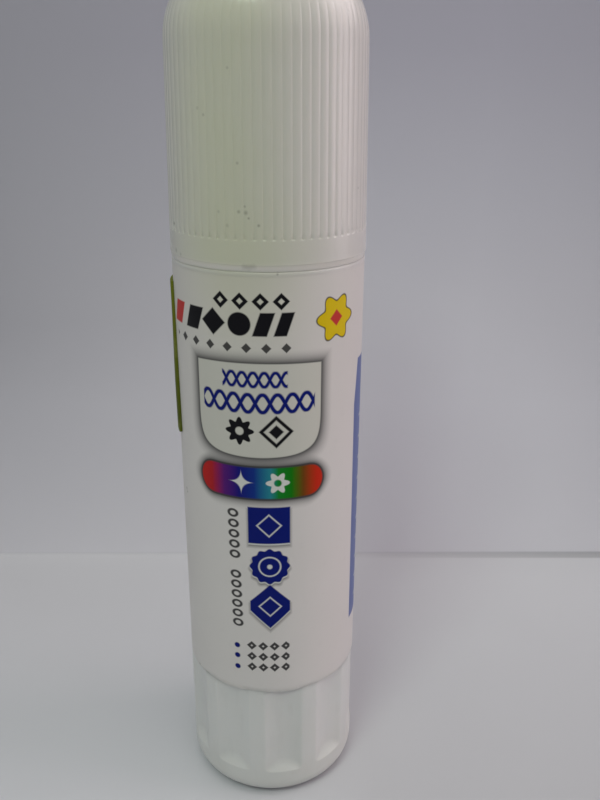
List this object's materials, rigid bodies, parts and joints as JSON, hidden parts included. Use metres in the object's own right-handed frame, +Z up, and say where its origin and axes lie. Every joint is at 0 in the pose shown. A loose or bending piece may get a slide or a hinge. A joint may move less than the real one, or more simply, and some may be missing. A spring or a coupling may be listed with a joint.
{
  "type": "glue stick",
  "caption": "Twist-up glue stick: fluted knob turns a lead screw that raises the glue carrier in a labelled barrel, under a reeded pull-off cap with a domed top.",
  "frame": {"origin": "middle of the knob's flat underside, on the surface that the stick stands on", "axes": "+Z up along the stick to the dome of the cap, -Y towards the front of the label, +X to the right of the front"},
  "size_m": [0.0255, 0.0255, 0.115],
  "materials": {
    "white_plastic": "semi-gloss white moulded polypropylene",
    "label_film": "satin printed film",
    "sticker_paper": "matt coated paper",
    "cap_plastic": "semi-gloss white moulded plastic, reeded",
    "knob_plastic": "semi-gloss white moulded plastic",
    "natural_plastic": "natural milky moulded plastic",
    "glue": "waxy off-white glue"
  },
  "bodies": {
    "barrel": {"barrel": "white_plastic", "label": "label_film", "price_sticker": "sticker_paper"},
    "cap": {"cap": "cap_plastic"},
    "knob": {"knob": "knob_plastic", "spindle": "natural_plastic"},
    "carrier": {"carrier": "natural_plastic", "glue": "glue"}
  },
  "joints": [
    {"name": "cap_lift", "type": "slide", "parent": "barrel", "child": "cap", "axis": [0, 0, 1], "range_m": [0, 0.04]},
    {"name": "knob_turn", "type": "hinge", "parent": "barrel", "child": "knob", "pos_m": [0, 0, 0], "axis": [0, 0, 1], "range_deg": [0, 5400]},
    {"name": "carrier_rise", "type": "slide", "parent": "barrel", "child": "carrier", "axis": [0, 0, 1], "range_m": [0, 0.06]}
  ],
  "couplings": [
    {"joint": "carrier_rise", "follows": "knob_turn", "m_per_rad": 0.00063662}
  ]
}
